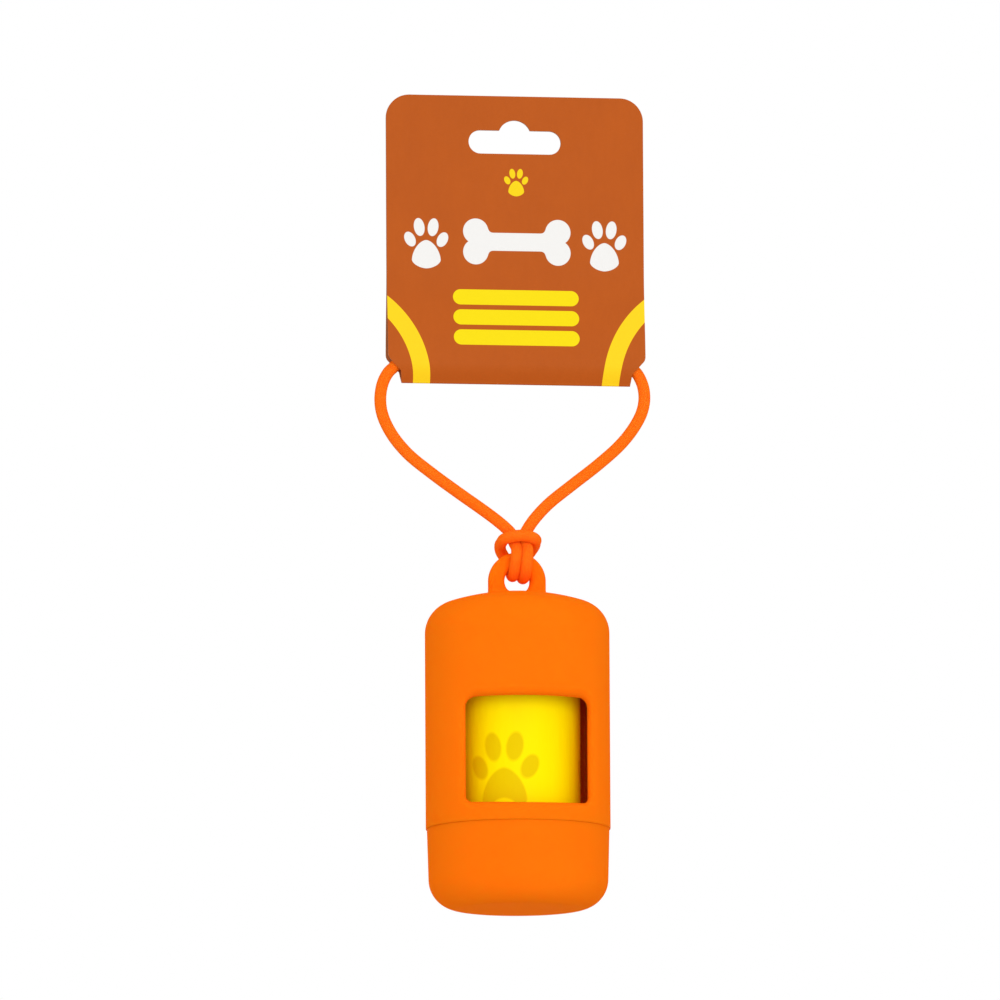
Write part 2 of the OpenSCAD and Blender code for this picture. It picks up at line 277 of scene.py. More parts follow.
def make_cord():
    """The loop, from its join inside the card round the hitch on the lug and back to the join."""
    middle, half_gap = RUN.index(JOIN), 0.05
    line = smooth_route(
        [(half_gap, 0, JOIN[2])] + RUN[middle + 1:] + RIGHT_LEG + RIGHT_HITCH + CROSSING
        + LEFT_HITCH + LEFT_LEG + RUN[:middle] + [(-half_gap, 0, JOIN[2])]
    )
    along = np.gradient(line, axis=0)
    along /= np.linalg.norm(along, axis=1)[:, None]
    side = np.array([0, 1, 0.1])
    points = []
    for p, t in zip(line, along):
        side = side - t * (side @ t)
        side /= np.linalg.norm(side)
        other = np.cross(t, side)
        pressed = min(max((KNOT_TOP_Z - p[2]) / KNOT_BLEND, 0), 1)
        r = CORD_R + (KNOT_R - CORD_R) * pressed
        for k in range(CORD_SIDES):
            a = 2 * math.pi * k / CORD_SIDES
            points.append(p + r * (math.cos(a) * side + math.sin(a) * other))
    last = (len(line) - 1) * CORD_SIDES
    faces = tube_faces(len(line), CORD_SIDES)
    faces.append(range(CORD_SIDES - 1, -1, -1))
    faces.append(range(last, last + CORD_SIDES))
    return add_mesh("cord", points, faces), line


# ---- Shader formulas ----------------------------------------------------------------------------


class Field:
    """A number at each point of a surface, written as a formula and kept as shader nodes."""

    def __init__(self, tree, socket):
        self.tree = tree
        self.socket = socket

    def op(self, kind, *others):
        """A math node of this kind on this field and the others, which are fields or numbers."""
        node = self.tree.nodes.new("ShaderNodeMath")
        node.operation = kind
        for i, value in enumerate((self,) + others):
            if isinstance(value, Field):
                self.tree.links.new(value.socket, node.inputs[i])
            else:
                node.inputs[i].default_value = value
        return Field(self.tree, node.outputs[0])

    def __add__(self, other):
        return self.op("ADD", other)

    def __sub__(self, other):
        return self.op("SUBTRACT", other)

    def __mul__(self, other):
        return self.op("MULTIPLY", other)

    def __neg__(self):
        return self.op("MULTIPLY", -1.0)

    def abs(self):
        return self.op("ABSOLUTE")

    def least(self, other):
        return self.op("MINIMUM", other)

    def most(self, other):
        return self.op("MAXIMUM", other)

    def length(self, other):
        """The length of the vector (self, other)."""
        return (self * self + other * other).op("SQRT")

    def clamp(self):
        return self.most(0.0).least(1.0)

    def ramp(self, low, high):
        """0 below low and 1 above high, eased between them."""
        node = self.tree.nodes.new("ShaderNodeMapRange")
        node.interpolation_type = "SMOOTHSTEP"
        self.tree.links.new(self.socket, node.inputs["Value"])
        node.inputs["From Min"].default_value = low
        node.inputs["From Max"].default_value = high
        return Field(self.tree, node.outputs["Result"])

    def inside(self, edge=0.06):
        """1 where this distance is below 0, with an edge this wide in millimetres."""
        return (self * (-1.0 / edge) + 0.5).clamp()


class Look:
    """A material with a Principled shader and the tools to paint it. x, y and z are in mm."""

    def __init__(self, name, colour, roughness):
        self.material = bpy.data.materials.new(name)
        self.material.use_nodes = True
        self.tree = self.material.node_tree
        self.shader = self.tree.nodes["Principled BSDF"]
        self.shader.inputs["Base Color"].default_value = (*colour, 1)
        self.shader.inputs["Roughness"].default_value = roughness
        self.coords = self.tree.nodes.new("ShaderNodeTexCoord").outputs["Object"]
        split = self.tree.nodes.new("ShaderNodeSeparateXYZ")
        self.tree.links.new(self.coords, split.inputs[0])
        self.x, self.y, self.z = (Field(self.tree, split.outputs[i]) * 1000.0 for i in range(3))

    def set(self, **values):
        """Sets the shader's own inputs by their names, written with _ for a space."""
        for key, value in values.items():
            self.shader.inputs[key.replace("_", " ")].default_value = value

    def noise(self, scale, detail=3.0, roughness=0.5, stretch=(1, 1, 1), offset=0.0):
        """Noise about 0, with scale features per metre, stretched along the axes."""
        mapping = self.tree.nodes.new("ShaderNodeMapping")
        mapping.inputs["Scale"].default_value = stretch
        mapping.inputs["Location"].default_value = (offset, offset, offset)
        self.tree.links.new(self.coords, mapping.inputs["Vector"])
        node = self.tree.nodes.new("ShaderNodeTexNoise")
        node.inputs["Scale"].default_value = scale
        node.inputs["Detail"].default_value = detail
        node.inputs["Roughness"].default_value = roughness
        self.tree.links.new(mapping.outputs[0], node.inputs["Vector"])
        return Field(self.tree, node.outputs["Fac"]) - 0.5

    def mix(self, amount, first, second):
        """Colour between first and second; each is a colour or another mix's output."""
        node = self.tree.nodes.new("ShaderNodeMix")
        node.data_type = "RGBA"
        self.tree.links.new(amount.socket, node.inputs["Factor"])
        for key, value in ((6, first), (7, second)):
            if isinstance(value, tuple):
                node.inputs[key].default_value = (*value, 1)
            else:
                self.tree.links.new(value, node.inputs[key])
        return node.outputs[2]

    def colour(self, socket):
        """Paints the surface with a mix's output."""
        self.tree.links.new(socket, self.shader.inputs["Base Color"])

    def roughness(self, field):
        """Varies the roughness over the surface."""
        self.tree.links.new(field.clamp().socket, self.shader.inputs["Roughness"])

    def bump(self, height, distance, strength=1.0):
        """Bump from a height field whose unit stands for this distance in metres."""
        node = self.tree.nodes.new("ShaderNodeBump")
        node.inputs["Strength"].default_value = strength
        node.inputs["Distance"].default_value = distance
        self.tree.links.new(height.socket, node.inputs["Height"])
        self.tree.links.new(node.outputs[0], self.shader.inputs["Normal"])


def ellipse(u, v, cu, cv, ru, rv, tilt):
    """Rough distance in millimetres to an ellipse turned by tilt degrees, negative inside."""
    c, s = math.cos(math.radians(tilt)), math.sin(math.radians(tilt))
    du, dv = u - cu, v - cv
    p, q = du * c + dv * s, dv * c - du * s
    return ((p * (1 / ru)).length(q * (1 / rv)) - 1.0) * min(ru, rv)


def blob(a, b, r):
    """Two Field distances joined with a filled corner of radius r."""
    h = ((a - b) * (0.5 / r) + 0.5).clamp()
    return a + (b - a) * h - h * (-h + 1.0) * r


def paw(u, v, size, heel=0.0):
    """Distance to a plain paw print, size times 14 mm across, with an open heel this high."""
    pad_half, pad_up, pad_down, pad_z, squareness = 6.1, 8.4, 3.6, -7.7, 1.72
    u, v = u * (1 / size), v * (1 / size)
    m = u.abs()
    middle_toes = ellipse(m, v, 2.95, 6.2, 2.25, 3.8, -9)
    outer_toes = ellipse(m, v, 6.9, 1.0, 2.2, 3.3, -27)
    toes = middle_toes.least(outer_toes)
    rise = v - pad_z
    high = rise.most(0.0) * (1 / pad_up) + (-rise).most(0.0) * (1 / pad_down)
    across = (m * (1 / pad_half)).op("POWER", squareness)
    pad = (across + high.op("POWER", squareness) - 1.0) * 4.0
    if heel:
        pad = pad.most(-ellipse(m, v, 0.0, -7.2 - heel, 3.6, heel, 0))
    return toes.least(pad) * size


def bone(u, v, size):
    """Distance to a plain bone about (0, 0), size times 16 mm long."""
    m, n = (u * (1 / size)).abs(), (v * (1 / size)).abs()
    knob = (m - 6.2).length(n - 1.55) - 1.9
    shaft = (m - 6.0).most(n - 1.35)
    return blob(shaft, knob, 0.8) * size


def silicone_look(name, colour, deep, roughness, seed):
    """Matte moulded silicone: a fine eroded skin, faint flow mottling and soft depth."""
    look = Look(name, colour, roughness)
    mottle = look.noise(55, detail=3, roughness=0.55, offset=seed)
    fine = look.noise(900, detail=2, roughness=0.6, offset=seed + 3)
    dust = look.noise(2600, detail=1, roughness=0.5, offset=seed + 7)
    look.colour(look.mix((mottle * 1.1 + fine * 0.1 + 0.5).clamp(), deep, colour))
    look.roughness(mottle * 0.16 + dust * 0.1 + roughness)
    look.bump(fine * 0.6 + dust * 0.4, distance=0.00006, strength=0.22)
    look.set(Specular_IOR_Level=0.001, Subsurface_Weight=0.4, Subsurface_Scale=0.003)
    look.set(Subsurface_Radius=(1.0, 0.22, 0.05))
    look.set(Sheen_Weight=0.6, Sheen_Roughness=0.5, Sheen_Tint=(1.0, 0.1, 0.0, 1.0))
    return look.material


# ---- Solid shapes from distances ----------------------------------------------------------------


def outline_distance(outline, a, b):
    """Signed distance in millimetres from points (a, b) to a closed outline, negative inside."""
    pts = np.array(outline, float)
    nxt = np.roll(pts, -1, axis=0)
    a, b = np.asarray(a, float), np.asarray(b, float)
    best = np.full(a.shape, np.inf)
    inside = np.zeros(a.shape, bool)
    for (x0, y0), (x1, y1) in zip(pts, nxt):
        dx, dy = x1 - x0, y1 - y0
        size = dx * dx + dy * dy
        if size < TINY ** 2:
            continue
        t = np.clip(((a - x0) * dx + (b - y0) * dy) / size, 0, 1)
        best = np.minimum(best, (a - x0 - t * dx) ** 2 + (b - y0 - t * dy) ** 2)
        if y0 != y1:
            inside ^= ((y0 > b) != (y1 > b)) & (a < dx * (b - y0) / (y1 - y0) + x0)
    return np.where(inside, -1, 1) * np.sqrt(best)


class Table:
    """Distances to an outline on a fine grid, read back by interpolation."""

    def __init__(self, outline, low, high, step=0.1):
        self.low, self.step = np.array(low, float), step
        size = np.ceil((np.array(high) - self.low) / step).astype(int) + 2
        a, b = (self.low[i] + step * np.arange(size[i]) for i in (0, 1))
        self.values = outline_distance(outline, *np.meshgrid(a, b, indexing="ij"))

    def __call__(self, a, b):
        last_a, last_b = (n - 1.001 for n in self.values.shape)
        u = np.clip((a - self.low[0]) / self.step, 0, last_a)
        v = np.clip((b - self.low[1]) / self.step, 0, last_b)
        i, j = u.astype(int), v.astype(int)
        u, v = u - i, v - j
        t = self.values
        return (
            (1 - u) * ((1 - v) * t[i, j] + v * t[i, j + 1])
            + u * ((1 - v) * t[i + 1, j] + v * t[i + 1, j + 1])
        )


def meet(a, b, r):
    """Where both solids are, with the edge between them rounded to radius r."""
    return np.minimum(-r, np.maximum(a, b)) + np.hypot(np.maximum(r + a, 0), np.maximum(r + b, 0))


def join(a, b, r):
    """Both solids together, with the corner between them filled to radius r."""
    return np.maximum(r, np.minimum(a, b)) - np.hypot(np.maximum(r - a, 0), np.maximum(r - b, 0))


def surface_net(distance, low, high, cell):
    """Points, quads and normals on the surface where a distance in millimetres is 0.

    Each cell of a grid that the surface passes through gets one point, amid the places where the
    surface crosses the cell's edges. Each crossed edge gets a quad between the four cells round
    it. Then the points are moved along the distance's slope until they lie on the surface.
    """
    low = np.array(low, float)
    size = np.ceil((np.array(high) - low) / cell).astype(int) + 1
    axes = [low[i] + cell * np.arange(size[i]) for i in range(3)]
    x, y, z = np.meshgrid(*axes, indexing="ij")
    d = distance(x, y, z)
    neg = d < 0
    total = np.zeros(tuple(size - 1) + (3,))
    count = np.zeros(tuple(size - 1))
    crossing = []
    for axis in range(3):
        u, v = [k for k in range(3) if k != axis]
        first, second = [slice(None)] * 3, [slice(None)] * 3
        first[axis], second[axis] = slice(0, -1), slice(1, None)
        a, b = d[tuple(first)], d[tuple(second)]
        hit = neg[tuple(first)] != neg[tuple(second)]
        share = np.where(hit, a / np.where(hit, a - b, 1), 0)
        crossing.append((hit, neg[tuple(first)]))
        for du in (0, 1):
            for dv in (0, 1):
                part = [slice(None)] * 3
                part[u] = slice(1, None) if du else slice(0, -1)
                part[v] = slice(1, None) if dv else slice(0, -1)
                h = hit[tuple(part)]
                total[..., axis] += share[tuple(part)]
                total[..., u] += du * h
                total[..., v] += dv * h
                count += h
    used = count > 0
    number = np.full(count.shape, -1)
    number[used] = np.arange(used.sum())
    points = low + cell * (np.argwhere(used) + total[used] / count[used][:, None])
    faces = []
    for axis, (hit, start_in) in enumerate(crossing):
        u, v = [k for k in range(3) if k != axis]
        core = [slice(None)] * 3
        core[u], core[v] = slice(1, -1), slice(1, -1)
        spots = np.argwhere(hit[tuple(core)])
        spots[:, u] += 1
        spots[:, v] += 1
        corner = []
        for du, dv in ((0, 0), (1, 0), (1, 1), (0, 1)):
            c = spots.copy()
            c[:, u] -= du
            c[:, v] -= dv
            corner.append(number[c[:, 0], c[:, 1], c[:, 2]])
        quads = np.stack(corner, axis=1)
        flip = start_in[spots[:, 0], spots[:, 1], spots[:, 2]]
        if axis == 1:
            flip = ~flip
        quads[~flip] = quads[~flip][:, ::-1]
        faces.append(quads)

    def slope(p):
        nudges = 0.02 * np.eye(3)
        g = np.stack([distance(*(p + n).T) - distance(*(p - n).T) for n in nudges], axis=1)
        return g / np.maximum(np.linalg.norm(g, axis=1), 1e-9)[:, None]

    for _ in range(4):
        off = np.clip(distance(*points.T), -0.5 * cell, 0.5 * cell)
        points = points - slope(points) * off[:, None]
    return points, np.vstack(faces), slope(points)


# ---- Silicone body ------------------------------------------------------------------------------


def dome_arcs(inset):
    """The shoulder and crown of the dome, this far inside the outer surface."""
    shoulder_r, crown_r = 8.5, 60.0
    shoulder_x, crown_z = BODY_R - shoulder_r, APEX_Z - crown_r
    tangent = math.degrees(math.atan2(DOME_Z - crown_z, shoulder_x))
    return (
        arc(shoulder_x, DOME_Z, shoulder_r - inset, 0, tangent, 24)
        + arc(0, crown_z, crown_r - inset, tangent, 90, 24)[1:]
    )


def window_outline():
    """The window seen from the front, lower edge bowed down in the middle."""
    half, height, high_r, low_r, bow = 16.0, 27.4, 2.5, 1.5, 0.5
    low_x, high_x, top = half - low_r, half - high_r, WINDOW_Z + height
    bow_r = (low_x * low_x + bow * bow) / (2 * bow)
    lower = [
        (x, WINDOW_Z + bow_r - bow - math.sqrt(bow_r ** 2 - x * x))
        for x in np.linspace(-low_x, low_x, 17)
    ]
    return (
        lower
        + arc(low_x, WINDOW_Z + low_r, low_r, -90, 0, 6)
        + arc(high_x, top - high_r, high_r, 0, 90, 8)
        + arc(-high_x, top - high_r, high_r, 90, 180, 8)
        + arc(-low_x, WINDOW_Z + low_r, low_r, 180, 270, 6)[:-1]
    )


def make_body():
    """Tube, dome, window and lug in one moulding."""
    rim, bore_edge, window_edge = 0.1, 0.5, 2.4
    lug_r, hole_r, lug_half, lug_edge, lug_root, lug_fillet = 7.5, 3.4, 2.0, 1.3, 1.3, 0.8

    # Both profiles run past the axis, and the bore past the seam, so that they stay open there.
    low_z, high_z, wide, past_axis, below_seam = -185, -112, 28, -30, SEAM_Z - 12
    outer = Table(
        [(past_axis, SEAM_Z)] + arc(BODY_R - rim, SEAM_Z + rim, rim, -90, 0, 6) + dome_arcs(0)
        + [(past_axis, APEX_Z)],
        (0, low_z), (wide, high_z),
    )
    inner = Table(
        [
            (past_axis, below_seam), (NECK_IN_R, below_seam),
            (NECK_IN_R, SEAM_Z), (BORE_R, SEAM_Z + (BORE_R - NECK_IN_R)),
        ]
        + dome_arcs(BODY_R - BORE_R) + [(past_axis, APEX_Z - BODY_R + BORE_R)],
        (0, low_z), (wide, high_z),
    )
    window = Table(window_outline(), (-26, low_z), (26, high_z))

    def shape(x, y, z):
        r = np.hypot(x, y)
        far = 9.0
        opening = np.where(y < 0, window(x, z), far)
        wall = meet(outer(r, z), -opening, window_edge)
        shell = meet(wall, -inner(r, z), bore_edge)
        arch = np.hypot(x, np.maximum(z - HOLE_Z, 0)) - lug_r
        hole = np.hypot(x, z - HOLE_Z) - hole_r
        front = np.maximum(np.maximum(arch, -hole), APEX_Z - lug_root - z)
        lug = meet(front, np.abs(y) - lug_half, lug_edge)
        return join(shell, lug, lug_fillet)

    # The grid starts a little off the body's planes of symmetry, where distances meet in a fold.
    cell = 0.5
    low, high = (-25.07, -25.03, SEAM_Z - 2.5 * cell), (25, 25, -106.4)
    points, faces, normals = surface_net(shape, low, high, cell)

    # The points at the outer edge of the seam are set on one even ring that is lit as an edge.
    ring_r, ring_z = BODY_R - 0.04, SEAM_Z + 0.01
    r = np.hypot(points[:, 0], points[:, 1])
    edge = np.hypot(r - BODY_R, points[:, 2] - SEAM_Z) < 0.6 * cell
    points[edge, :2] *= (ring_r / r[edge])[:, None]
    points[edge, 2] = ring_z
    normals[edge, :2] = points[edge, :2]
    normals[edge, 2] = -BODY_R / 2
    normals /= np.linalg.norm(normals, axis=1)[:, None]
    return add_mesh("silicone_body", points, faces, normals=normals)


def make_neck():
    """The neck under the seam, with its two low ribs. Its top lies hidden in the body's wall."""
    length, rib_r, rib_rise, low_r, in_r, overlap = 8, 0.9, 0.35, 0.4, 0.3, 0.8
    neck_r, top_z = NECK_OUT_R - rib_rise, SEAM_Z + overlap
    rib_half = math.degrees(math.acos((rib_r - rib_rise) / rib_r))
    outline = arc(neck_r - low_r, NECK_Z + low_r, low_r, -90, 0, 5)
    for third in (1, 2):
        rib_z = NECK_Z + third * length / 3
        outline += arc(NECK_OUT_R - rib_r, rib_z, rib_r, -rib_half, rib_half, 12)
    outline += [(neck_r, top_z), (NECK_IN_R, top_z)]
    outline += arc(NECK_IN_R + in_r, NECK_Z + in_r, in_r, 180, 270, 4)
    neck = add_mesh("silicone_neck", *turned(spaced(outline, 2.0)))
    crisp(neck)
    return neck


def make_cap():
    """The pull-off end cap with its large rounded lower edge and the socket for the neck."""
    low_edge, rim, lip, floor_edge = 7.8, 0.12, 0.3, 1.7
    rim_z, socket_z = RIM_Z + 0.08, NECK_Z - 0.2
    outline = (
        [(0, BASE_Z)]
        + arc(CAP_LOW_R - low_edge, BASE_Z + low_edge, low_edge, -90, 0, 24)
        + arc(CAP_R - rim, rim_z - rim, rim, 0, 90, 6)
        + arc(SOCKET_R + lip, rim_z - lip, lip, 90, 180, 4)
        + [(SOCKET_R, socket_z), (NECK_IN_R + lip, socket_z)]
        + arc(NECK_IN_R + lip, socket_z - lip, lip, 90, 180, 4)
        + arc(NECK_IN_R - floor_edge, FLOOR_Z + floor_edge, floor_edge, 0, -90, 10)
        + [(0, FLOOR_Z)]
    )
    cap = add_mesh("silicone_cap", *turned(spaced(outline, 2.5)))
    crisp(cap)
    return cap


# ---- Roll ---------------------------------------------------------------------------------------


def bag_r(i):
    """Outer radius of bag i on the roll, where every bag has the same volume of film."""
    return math.sqrt(CORE_R ** 2 + (ROLL_R ** 2 - CORE_R ** 2) * i / BAGS)


def ripple(angle, z, rng):
    """Smooth random waves on the roll, about -1 to 1, longer along the roll than round it."""
    waves, tallest, most_round, steepest = 14, 5.3, 9, 0.12
    total = np.zeros_like(angle)
    for _ in range(waves):
        k = rng.integers(1, most_round)
        q = rng.uniform(-steepest, steepest)
        total += np.cos(k * angle + q * z + rng.uniform(0, 2 * math.pi)) / tallest
    return total


def bag_rings(i, angle, rows):
    """Rings of (radius, height) up the outside of bag i, over its top and down its inside."""
    rng = np.random.default_rng(100 + i)
    top, bottom = ROLL_TOP_Z - rng.uniform(0.02, 0.5), ROLL_Z + rng.uniform(0.02, 0.3)
    inner, outer = bag_r(i - 1), bag_r(i)
    middle, end = (outer + inner) / 2, 0.12
    dent, dent_depth = 0.03, 0.11
    rings = []
    for z in np.linspace(bottom + end, top - end, rows):
        if i == BAGS:
            dent = dent_depth * (1 - ripple(angle, z, np.random.default_rng(7))).clip(0, 2)
        rings.append((outer - dent, z))
    wave = 0.05 * ripple(angle, 0, np.random.default_rng(50 + i))
    rings += [(outer - 0.14, top - 0.02), (middle, top + wave - end), (inner + 0.02, top - 0.15)]
    rings += [
        (inner + 0.02, bottom + 0.15), (middle, bottom + wave + end), (outer - 0.14, bottom + 0.02)
    ]
    return rings


def make_bags(film):
    """Fifteen wound bags, each a slightly uneven ring with its own end heights."""
    for i in range(1, BAGS + 1):
        # Only the outermost bag shows its side, with waves that need a fine mesh.
        sides, rows = (240, 90) if i == BAGS else (96, 4)
        angle = np.linspace(0, 2 * math.pi, sides, endpoint=False)
        rings = bag_rings(i, angle, rows)
        points = []
        for r, z in rings:
            points += zip(r * np.sin(angle), -r * np.cos(angle), z + 0 * angle)
        bag = add_mesh(f"film_{i:02d}", points, tube_faces(len(rings), sides, closed=True))
        crisp(bag, 50)
        wear(bag, film)
        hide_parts(f"bag_{i:02d}")
        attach(bag, "roll")


def film_look():
    """Thin satin film wound on itself, with soft creases and a faint printed paw pattern."""
    yellow, deep, ink = (1.0, 0.86, 0.0), (1.0, 0.76, 0.0), (0.74, 0.51, 0.0)
    look = Look("bag_film", yellow, 0.42)

    # Rows of three paws round the roll, one every above + below and each turned by half a step
    # against the next. Nothing is printed more than highest above the paws in the window.
    paw_z, above, below, highest = -166.65, 16.0, 20.0, 14.0
    first_turn, row_turn, half_step = math.radians(22.0), math.radians(60), math.pi / 3
    angle = look.x.op("ARCTAN2", -look.y)
    height = look.z - paw_z
    row = ((height + below) * (1 / (above + below))).op("FLOOR")
    turn = (angle + first_turn - row * row_turn).op("WRAP", half_step, -half_step)
    mark = paw(turn * ROLL_R, height.op("WRAP", above, -below), 1.0, heel=3.2)
    skin = look.x.length(look.y) - (ROLL_R - 0.8)
    mark = mark.most(height - highest).most(-skin)

    soft = look.noise(95, detail=3, roughness=0.5, stretch=(1, 1, 0.35))
    veins = look.noise(420, detail=3, roughness=0.55, stretch=(1, 1, 0.18), offset=5)
    milk = look.noise(45, detail=2, roughness=0.5, offset=9)
    base = look.mix((soft * 1.1 + milk * 0.8 + 0.6).clamp(), deep, yellow)
    look.colour(look.mix(mark.inside(0.6) * 0.8, base, ink))
    look.roughness(soft * 0.3 + 0.46)
    look.bump(soft * 0.8 + veins * 0.35, distance=0.0006, strength=0.4)
    look.set(Specular_IOR_Level=0.02, Subsurface_Weight=0.05, Subsurface_Scale=0.001)
    look.set(Subsurface_Radius=(1.0, 0.8, 0.05))
    look.set(Sheen_Weight=0.6, Sheen_Roughness=0.5, Sheen_Tint=(1.0, 0.5, 0.0, 1.0))
    return look.material


def make_core():
    """The paper tube that the bags are rolled on."""
    wall, r = 1.0, 0.15
    inner, outer = CORE_R - wall, CORE_R - 0.02
    outline = (
        arc(outer - r, ROLL_TOP_Z - r, r, 0, 90, 3)
        + arc(inner + r, ROLL_TOP_Z - r, r, 90, 180, 3)
        + arc(inner + r, ROLL_Z + r, r, 180, 270, 3)
        + arc(outer - r, ROLL_Z + r, r, 270, 360, 3)
    )
    return add_mesh("paper_core", *turned(spaced(outline, 3.0), 96))


def core_look():
    """Brown wound paper with fibres and a spiral seam."""
    look = Look("core_paper", (0.48, 0.32, 0.16), 0.85)
    fibre = look.noise(1500, detail=4, roughness=0.6, stretch=(1, 1, 0.3))
    cloud = look.noise(160, detail=3, roughness=0.5)
    lead, half_pitch, seam_half = 6.2, 9.5, 0.18
    angle = look.x.op("ARCTAN2", -look.y)
    from_seam = (angle * lead + look.z).op("WRAP", half_pitch, -half_pitch).abs()
    seam = (from_seam - seam_half).inside(0.2)
    shade = (fibre + cloud + 0.5 - seam * 0.4).clamp()
    look.colour(look.mix(shade, (0.3, 0.18, 0.08), (0.56, 0.39, 0.21)))
    look.bump(fibre - seam, distance=0.00008, strength=0.6)
    look.roughness(fibre * 0.2 + 0.85)
    return look.material


# ---- Header card --------------------------------------------------------------------------------

BOARD = 0.45
GLUE_HALF = 0.06

# Half of the gap between the panels is widest, at FOLD_HALF, this high above the crease, to hold
# the cord. The panels lie flat on the glue from FLAT_H up.
FOLD_HALF = 1.95
FOLD_H = 5.5
FLAT_H = 30
FOLD_ROWS = [0.15, 0.3, 0.45, 0.7, 1, 1.4, 1.8, 2.3, 2.8, 3.4, 4, 4.6, 5.2, 5.8, 6.6, 7.5, 8.5]


def gap_half(h):
    """Half of the gap between the two panels at a height above the crease."""
    if h <= FOLD_H:
        return FOLD_HALF * math.sin(math.radians(90 * max(h - BOARD, 0) / (FOLD_H - BOARD)))
    if h < FLAT_H:
        turn = math.radians(180 * (h - FOLD_H) / (FLAT_H - FOLD_H))
        return GLUE_HALF + (FOLD_HALF - GLUE_HALF) * (1 + math.cos(turn)) / 2
    return GLUE_HALF


def card_outline():
    """Front view of one panel from its crease up, counter-clockwise: x, height above the crease."""
    half, top = 33.9, CARD_TOP_Z - CREASE_Z
    ear_z, ear_r, ear_rise, top_r = 3, 2.4, 4.6, 6.1
    right = [(30.1, 0), (30.5, ear_z)] + arc(half - ear_r, ear_z + ear_rise, ear_r, -35, 0, 6)
    right += arc(half - top_r, top - top_r, top_r, 0, 90, 14)
    return right + [(-x, h) for x, h in reversed(right)]


def slot_outline():
    """The hang slot: a round-ended slot with a round hump above its middle."""
    r, half, hump_r, hump_z = 3.1, 9.1, 4.4, 1.4
    lift = math.degrees(math.asin((r - hump_z) / hump_r))
    points = arc(half, 0, r, -90, 90, 16) + arc(0, hump_z, hump_r, lift, 180 - lift, 24)
    points += arc(-half, 0, r, 90, 270, 16)
    return [(x, h - CREASE_Z) for x, h in points]


def flat_panel():
    """One panel before it is bent: its points (x, height above the crease) and its triangles."""
    bm = bmesh.new()
    edges = []
    for loop in (card_outline(), slot_outline()):
        verts = [bm.verts.new((x, h, 0)) for x, h in loop]
        edges += [bm.edges.new((verts[i - 1], verts[i])) for i in range(len(verts))]
    bmesh.ops.triangle_fill(bm, use_beauty=True, edges=edges)
    for h in FOLD_ROWS + list(np.arange(9.7, 31, 1.3)):
        geom = bm.verts[:] + bm.edges[:] + bm.faces[:]
        bmesh.ops.bisect_plane(bm, geom=geom, plane_co=(0, h, 0), plane_no=(0, 1, 0))
    bmesh.ops.triangulate(bm, faces=bm.faces)
    bm.verts.index_update()
    flat = [(v.co.x, v.co.y) for v in bm.verts]
    tris = [[v.index for v in f.verts] for f in bm.faces]
    bm.free()
    return flat, tris


def make_card():
    """Both panels as one sheet of board, bent at the crease round the cord."""
    flat, tris = flat_panel()
    points, faces = [], []
    for side in (-1, 1):
        start = len(points)
        for x, h in flat:
            edge = min(h / BOARD, 1)
            y = (gap_half(h) + BOARD * math.sqrt(max(1 - (1 - edge) ** 2, 0))) * side
            points.append((x, y, CREASE_Z + h))
        for tri in tris:
            a, b, c = (np.array(points[start + v]) for v in tri)
            outward = np.cross(b - a, c - a)[1] * side > 0
            faces.append([start + v for v in (tri if outward else tri[::-1])])
    card = add_mesh("card", points, faces)

    # The panels become one mesh where they touch along the crease.
    bm = bmesh.new()
    bm.from_mesh(card.data)
    bmesh.ops.remove_doubles(bm, verts=bm.verts, dist=TINY)
    bm.to_mesh(card.data)
    bm.free()

    # The mesh so far is the printed face. The board's inside and cut edges are added to it.
    solid = card.modifiers.new("board", "SOLIDIFY")
    solid.thickness = (BOARD - 0.01) * MM
    solid.offset = -1
    solid.use_even_offset = False
    solid.use_rim = True
    solid.material_offset = 1
    solid.material_offset_rim = 2
    wear(card, print_look(), *board_looks())
    shown = card.evaluated_get(bpy.context.evaluated_depsgraph_get())
    baked = bpy.data.meshes.new_from_object(shown)
    card.modifiers.clear()
    card.data = baked
    crisp(card, 50)
    return card


